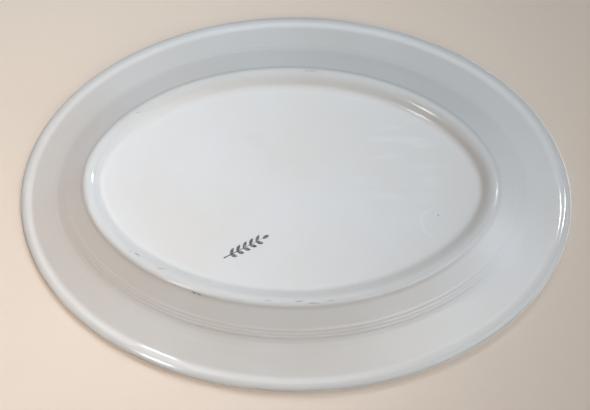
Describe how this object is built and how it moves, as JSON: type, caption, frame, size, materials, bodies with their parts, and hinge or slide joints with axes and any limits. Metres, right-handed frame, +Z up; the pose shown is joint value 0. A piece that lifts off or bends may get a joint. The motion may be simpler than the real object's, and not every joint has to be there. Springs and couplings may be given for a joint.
{
  "type": "oval serving platter",
  "caption": "Oval serving platter of glazed vitreous china, with a flat well, a sloping flange, a rolled edge and a foot ring.",
  "frame": {"origin": "middle of the foot ring, on the plane that the platter stands on", "axes": "+X along the length, +Y across the width, +Z up out of the well; the platter stands face up"},
  "size_m": [0.292, 0.205, 0.031],
  "materials": {
    "glazed_china": "clear gloss glaze over white vitreous china, scuffed grey along the crest of the foot ring",
    "underglaze_print": "thin grey-green underglaze print, as glossy as the glaze over it"
  },
  "bodies": {
    "root": {"china_body": "glazed_china", "backstamp": "underglaze_print"}
  },
  "joints": []
}
